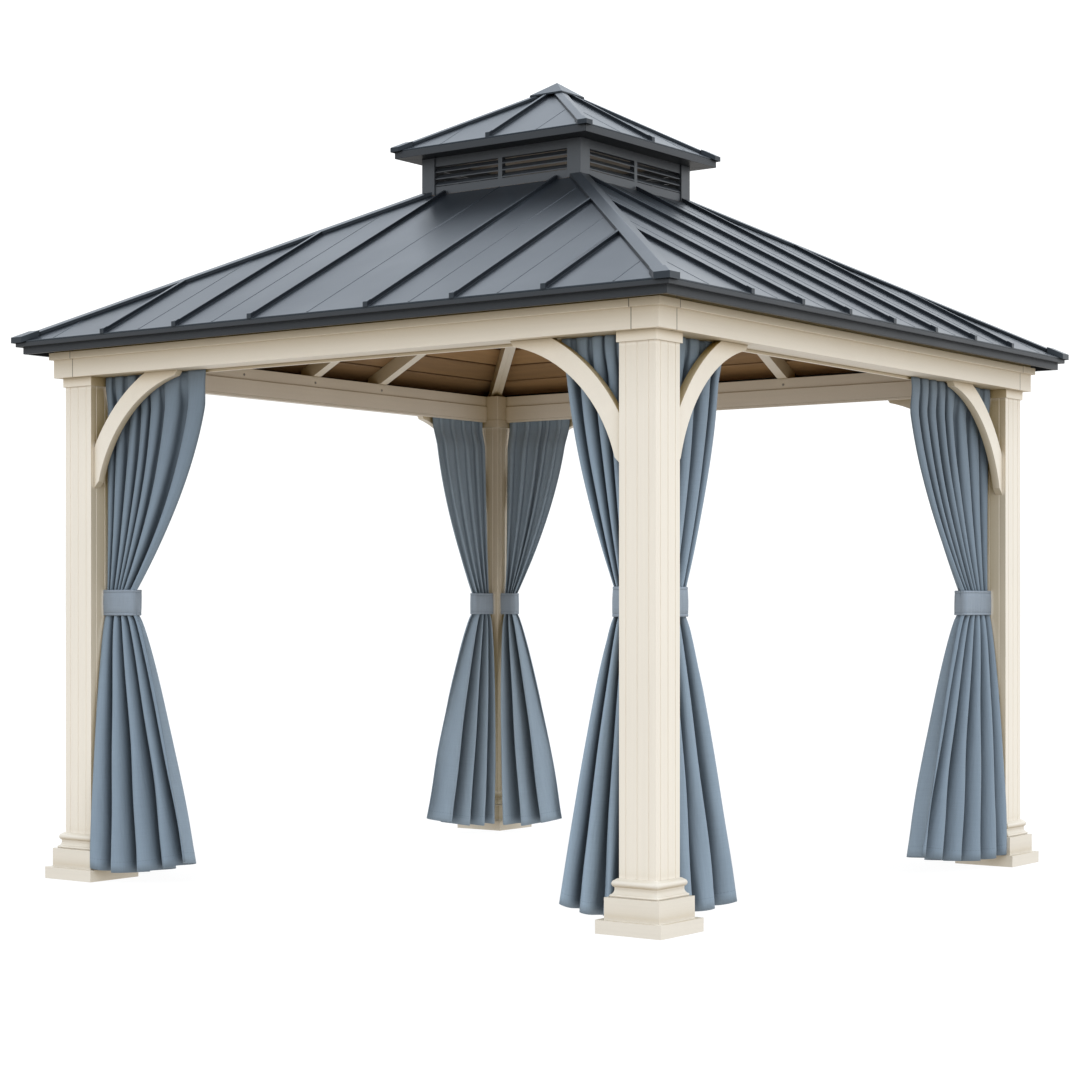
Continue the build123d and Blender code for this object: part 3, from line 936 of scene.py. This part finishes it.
# Across the band: share of its height, and how far that line stands out
band_profile = (
    (0.0, -0.0008), (0.012, 0.0006), (0.05, 0.0010), (0.088, 0.0006), (0.1, -0.0004), (0.112, 0.0005),
    (0.3, 0.0012), (0.5, 0.0015), (0.7, 0.0012),
    (0.888, 0.0005), (0.9, -0.0004), (0.912, 0.0006), (0.95, 0.0010), (0.988, 0.0006), (1.0, -0.0008),
)


def band_path(free, inner, outer):
    """The band's closed line in plan, as places and outward directions."""
    low, high = free - band_gap, post_inner
    near, far = inner - band_gap, outer + band_gap
    corners = (
        (high - post_radius, far - post_radius, post_radius, 0),
        (low + free_radius, far - free_radius, free_radius, 1),
        (low + free_radius, near + free_radius, free_radius, 2),
        (high - post_radius, near + post_radius, post_radius, 3),
    )
    path = []
    for x, deep, radius, quarter in corners:
        for step in range(arc_steps + 1):
            angle = math.pi / 2 * (quarter + step / arc_steps)
            out = Vector((math.cos(angle), math.sin(angle)))
            path.append((Vector((x, deep)) + radius * out, out))
    return with_runs(path)


def with_runs(path):
    """The closed line with its long straight runs divided."""
    full = []
    for index, (place, out) in enumerate(path):
        after, out_after = path[(index + 1) % len(path)]
        steps = straight_steps if (after - place).length > 2 * free_radius / arc_steps else 1
        for step in range(steps):
            share = step / steps
            full.append((place.lerp(after, share), out.lerp(out_after, share).normalized()))
    return full


def band_wave_at(length, share, phase):
    """How far the band stands out of its plain shape at a spot."""
    middle = band_middle_share + (1 - band_middle_share) * abs(2 * share - 1)
    ripple = math.sin(length / band_ripple + phase) * middle
    return band_wave * (ripple + math.sin(length / band_swell + 2 * phase + band_twist * share))


def make_tie_back(name, count, flip, waist, seed):
    """The band round one curtain's waist, with rolled hems."""
    phase = random.Random(seed).uniform(0, 2 * math.pi)
    path = band_path(*waist[1:])
    lengths = [0]
    for index in range(len(path)):
        step = (path[(index + 1) % len(path)][0] - path[index][0]).length
        lengths.append(lengths[-1] + step)
    points, places, faces = [], [], []
    for share, stand in band_profile:
        for length, (place, out) in zip(lengths, path):
            spot = place + out * (stand + band_wave_at(length, share, phase))
            x = min(spot.x, post_inner)
            points.append(placed((x, -spot.y, tie_low.z + share * tie_height), count, flip))
            places.append((length, share * tie_height))
    wide = len(path)
    for row in range(len(band_profile) - 1):
        for index in range(wide):
            after = (index + 1) % wide
            first = row * wide
            face = (first + index, first + after, first + wide + after, first + wide + index)
            faces.append(face[::-1] if flip else face)
    piece = add_piece("tie_back_" + name, points, faces, finishes["tie"], True)
    add_uvs(piece, places)
    add_tones(piece, [1.0] * len(points))
    add_thickness(piece, band_thickness, 1)
    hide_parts("tie_backs")


def add_curtains():
    """The eight curtains and their tie-backs, a right and a left end for each side."""
    for count, side in enumerate(side_names):
        ends = (side_names[(count + 1) % len(side_names)], side_names[count - 1])
        for flip, end in enumerate(ends):
            name = side + "_" + end
            seed = side_seeds * count + flip + first_seed
            waist = make_curtain(name, count, bool(flip), seed)
            make_tie_back(name, count, bool(flip), waist, seed + tie_seed)


# Ceiling boards between the rafters
ceiling_height = 0.070
board_count = 9
board_thickness = 0.011
board_gap = 0.011
board_chamfer = 0.0035
hip_inset = 0.0075
board_tones = (0.72, 1.22)
board_shift = 9
board_seed = 40


def ceiling_place(run, rise):
    """Distance from the middle and height of a spot so far up the slope and above its face."""
    distance = ceiling_start - run * math.cos(roof_pitch) + rise * math.sin(roof_pitch)
    base = beam_top + ceiling_height + (beam_inner - ceiling_start) * math.tan(roof_pitch)
    return distance, base + run * math.sin(roof_pitch) + rise * math.cos(roof_pitch)


def board_profile(low, high):
    """A board's section between two lines of the slope, chamfered along its face."""
    return (
        (low, board_chamfer),
        (low + board_chamfer, 0),
        (high - board_chamfer, 0),
        (high, board_chamfer),
        (high, board_thickness),
        (low, board_thickness),
    )


def make_ceiling(side, count):
    """One slope's boards, each mitred at the hips, with chamfered edges."""
    chance = random.Random(board_seed + count)
    pitch = (ceiling_start - cupola_half) / math.cos(roof_pitch) / board_count
    points, faces, places, tones = [], [], [], []
    for board in range(board_count):
        profile = board_profile(board * pitch, (board + 1) * pitch - board_gap)
        tone = chance.uniform(*board_tones)
        shift = chance.uniform(0, board_shift)
        first = len(points)
        for run, rise in profile:
            distance, height = ceiling_place(run, rise)
            for end in (-1, 1):
                across = end * (distance - hip_inset)
                points.append(placed((across, -distance, height), count))
                places.append((across + shift, run + shift))
                tones.append(tone)
        corners = len(profile)
        for corner in range(corners):
            a = first + 2 * corner
            b = first + 2 * ((corner + 1) % corners)
            faces.append((a, b, b + 1, a + 1))
        faces.append(tuple(first + 2 * corner + 1 for corner in range(corners)))
        faces.append(tuple(first + 2 * corner for corner in reversed(range(corners))))
    piece = add_piece("ceiling_boards_" + side, points, faces, finishes["boards"])
    add_uvs(piece, places)
    add_tones(piece, tones)
    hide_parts("ceiling_linings")


# Creases pressed into the roof sheets, midway between the ribs, as shares of half the eave
front_crease_shares = (-0.86, -0.555, -0.305, 0.0, 0.305, 0.555, 0.86)
side_crease_shares = (-0.84, -0.5525, -0.3315, -0.1105, 0.1105, 0.3315, 0.5525, 0.84)
cupola_crease_shares = (-0.5, 0.5)
crease_width = 0.009
crease_height = 0.0014
crease_sides = 4
crease_start = 0.006
hip_cover = 0.065
cupola_hip_cover = 0.046
eave_tolerance = 0.002
corner_tolerance = 0.010


def top_of_slope(name, reach):
    """The height of a roof sheet's top edge over the eave, read from its corner."""
    found = []
    for vertex in nodes[name].data.vertices:
        past_eave = abs(abs(vertex.co.x) - reach)
        past_corner = abs(abs(vertex.co.y) - reach)
        if past_eave < eave_tolerance and past_corner < corner_tolerance:
            found.append(vertex.co.z)
    return max(found)


def crease_line(share, slope, count, points, faces):
    """One half-round crease up a slope, from the eave to the hip or the top."""
    reach, base, top_distance, cover, pitch = slope
    across = share * reach
    start = reach - crease_start
    end = max(top_distance, abs(across) + cover)
    if end > start - crease_width:
        return
    first = len(points)
    for distance in (start, end):
        height = base + (reach - distance) * math.tan(pitch)
        for side in range(crease_sides + 1):
            angle = math.pi * side / crease_sides
            rise = crease_height * math.sin(angle)
            x = across + crease_width / 2 * math.cos(angle)
            spot = (x, -(distance + rise * math.sin(pitch)), height + rise * math.cos(pitch))
            points.append(placed(spot, count))
    wide = crease_sides + 1
    for side in range(crease_sides):
        faces.append((first + side, first + side + 1, first + wide + side + 1, first + wide + side))
    faces.append(tuple(first + side for side in reversed(range(wide))))
    faces.append(tuple(first + wide + side for side in range(wide)))
    faces.append((first, first + wide, first + 2 * wide - 1, first + wide - 1))


def add_creases():
    """The creases of the four main slopes and of the cupola's roof."""
    eave_top = top_of_slope("roof_front", eave_reach)
    cupola_top = top_of_slope("cupola_roof", cupola_reach)
    main_slope = (eave_reach, eave_top, cupola_half, hip_cover, roof_pitch)
    cupola_slope = (cupola_reach, cupola_top, cap_half, cupola_hip_cover, cupola_pitch)
    for count, side in enumerate(side_names):
        points, faces = [], []
        for share in side_crease_shares if count % 2 else front_crease_shares:
            crease_line(share, main_slope, count, points, faces)
        add_piece("roof_creases_" + side, points, faces, finishes["slate"])
    points, faces = [], []
    for count in range(len(side_names)):
        for share in cupola_crease_shares:
            crease_line(share, cupola_slope, count, points, faces)
    add_piece("cupola_creases", points, faces, finishes["slate"])


# Brackets at the feet of the hip rafters
bracket_width = 0.052
bracket_height = 0.046
bracket_thickness = 0.006
bracket_steps = 8
bracket_back = 0.026
bracket_seat = 0.012
bracket_hollow_share = 0.9


def bracket_outline():
    """A bracket seen from its side: square at the foot and hollow above it."""
    outline = [(0, 0), (bracket_width, 0)]
    for step in range(1, bracket_steps + 1):
        angle = math.pi / 2 * step / bracket_steps
        out = bracket_width * (1 - math.sin(angle) * bracket_hollow_share)
        outline.append((out, bracket_height * (1 - math.cos(angle))))
    outline.append((0, bracket_height))
    return outline


def make_brackets():
    """Two hollow-curved plates at each hip rafter's foot, standing on the corner block."""
    foot = beam_inner + bracket_seat
    outline = bracket_outline()
    wide = len(outline)
    points, faces = [], []
    for count in range(len(side_names)):
        for flip in (False, True):
            first = len(points)
            for side in (0, bracket_thickness):
                for out, up in outline:
                    spot = Vector((foot - bracket_back - out, -foot - side, beam_top + up))
                    if flip:
                        spot = Vector((-spot.y, -spot.x, spot.z))
                    points.append(placed(spot, count))
            faces.append(tuple(first + index for index in range(wide)))
            faces.append(tuple(first + wide + index for index in reversed(range(wide))))
            for index in range(wide):
                after = (index + 1) % wide
                faces.append((first + index, first + wide + index, first + wide + after, first + after))
    add_piece("rafter_brackets", points, faces, finishes["cream_even"])


# Screws along the inner faces of the beams, and a head's rings as shares of its radius and rise
screw_radius = 0.0058
screw_rise = 0.0026
screw_sides = 14
screw_height = 0.094
screw_seat = 0.005
front_screw_places = (-0.325, 0.325)
side_screw_places = (-0.4985, 0.0, 0.4985)
screw_ring_shares = ((1.0, 0.0), (0.96, 0.55), (0.7, 0.95), (0.352, 1.0), (0.22, 0.35))


def add_screw(place, count, points, faces):
    """One domed screw head with a dimple."""
    first = len(points)
    for share, rise in screw_ring_shares:
        for step in range(screw_sides):
            angle = 2 * math.pi * step / screw_sides
            x = place + share * screw_radius * math.cos(angle)
            z = beam_underside + screw_height + share * screw_radius * math.sin(angle)
            points.append(placed((x, rise * screw_rise - beam_inner - screw_seat, z), count))
    for ring in range(len(screw_ring_shares) - 1):
        for step in range(screw_sides):
            a = first + ring * screw_sides + step
            b = first + ring * screw_sides + (step + 1) % screw_sides
            faces.append((a, b, b + screw_sides, a + screw_sides))
    last = len(points) - screw_sides
    faces.append(tuple(last + step for step in range(screw_sides)))


def make_screws():
    """All the screw heads, in one mesh."""
    points, faces = [], []
    for count in range(len(side_names)):
        for place in side_screw_places if count % 2 else front_screw_places:
            add_screw(place, count, points, faces)
    add_piece("beam_screws", points, faces, finishes["zinc"], True)


# Dark joints where each beam meets its corner blocks
seam_width = 0.0028
seam_proud = 0.0004
seam_depth = 0.0012
crown_reach = 0.015
crown_rise = 0.078
crown_height = 0.030


def seam_outline():
    """A joint's line: under the beam, up its outer face, round the crown strip and on to the top."""
    face = -beam_low.y - crown_reach + seam_proud
    crown = face + crown_reach
    base = beam_underside - seam_proud
    crown_base = beam_underside + crown_rise
    return (
        (beam_inner, base),
        (face, base),
        (face, crown_base),
        (crown, crown_base),
        (crown, crown_base + crown_height),
        (face, crown_base + crown_height),
        (face, beam_top),
    )


def make_seams():
    """A thin ribbon of sealant round the outer faces of the beams at each joint."""
    outline = seam_outline()
    points, faces = [], []
    for count in range(len(side_names)):
        for flip in (False, True):
            first = len(points)
            for deep, height in outline:
                for side in (-1, 1):
                    points.append(placed((beam_high.x + side * seam_width / 2, -deep, height), count, flip))
            for index in range(len(outline) - 1):
                a = first + 2 * index
                face_points = (a, a + 1, a + 3, a + 2)
                faces.append(face_points[::-1] if flip else face_points)
    piece = add_piece("beam_seams", points, faces, finishes["seam"])
    add_thickness(piece, seam_depth, -1)


# Floor, light and camera
floor_half = 400.0
floor_drop = 0.0004
sky_strength = (1.16, 1.95)
horizon_colour = (0.985, 0.995, 1.0, 1)
zenith_colour = (0.87, 0.95, 1.05, 1)
zenith_span = (0.12, 0.65)
ground_strength = 0.70
ground_colour = (1.0, 0.98, 0.95, 1)
horizon_span = (-0.12, 0.0)
right_gain = 0.12
photo_side = 1080
camera_place = Vector((6.0872, -8.4899, 1.1673))
camera_yaw = math.radians(36.81)
focal_pixels = 2341.8
principal_pixel = (509.25, 607.96)
sensor_width = 36


def add_floor():
    """A wide pale floor under the bases."""
    corners = ((-1, -1), (1, -1), (1, 1), (-1, 1))
    mesh = bpy.data.meshes.new("floor")
    mesh.from_pydata([(x * floor_half, y * floor_half, -floor_drop) for x, y in corners], [], [(0, 1, 2, 3)])
    mesh.materials.append(finishes["floor"])
    floor = bpy.data.objects.new("floor", mesh)
    bpy.context.scene.collection.objects.link(floor)
    floor.visible_diffuse = False
    floor.visible_glossy = False
    floor.visible_shadow = False


def add_world():
    """A white surround: brightest overhead, a little brighter on the right, and dim and warm from below."""
    world = bpy.data.worlds.new("world")
    bpy.context.scene.world = world
    world.use_nodes = True
    tree = world.node_tree
    direction = node(tree, "TexCoord", {}).outputs["Generated"]
    parts = node(tree, "SeparateXYZ", {"Vector": direction})
    rise = parts.outputs["Z"]
    above = eased(tree, rise, horizon_span)
    sky = between(tree, rise, *sky_strength)
    strength = node(tree, "Mix", {0: above, 2: ground_strength, 3: sky}, data_type="FLOAT").outputs[0]
    gain = math_node(tree, "MULTIPLY_ADD", parts.outputs["X"], right_gain, 1.0)
    sky_colour = mixed(tree, eased(tree, rise, zenith_span), horizon_colour, zenith_colour)
    feed(tree, tree.nodes["Background"], {
        "Color": mixed(tree, above, ground_colour, sky_colour),
        "Strength": product(tree, strength, gain),
    })
    bpy.context.scene.view_settings.view_transform = "Standard"


def add_camera():
    """A level camera with the lens shift of the photograph's framing."""
    data = bpy.data.cameras.new("camera")
    data.sensor_width = sensor_width
    data.lens = focal_pixels * sensor_width / photo_side
    data.shift_x = 0.5 - principal_pixel[0] / photo_side
    data.shift_y = principal_pixel[1] / photo_side - 0.5
    camera = bpy.data.objects.new("camera", data)
    camera.location = camera_place
    camera.rotation_euler = (math.pi / 2, 0, camera_yaw)
    bpy.context.scene.collection.objects.link(camera)
    bpy.context.scene.camera = camera


dress_nodes()
add_curtains()
for side_index, side_name in enumerate(side_names):
    make_ceiling(side_name, side_index)
add_creases()
make_brackets()
make_screws()
make_seams()
add_floor()
add_world()
add_camera()
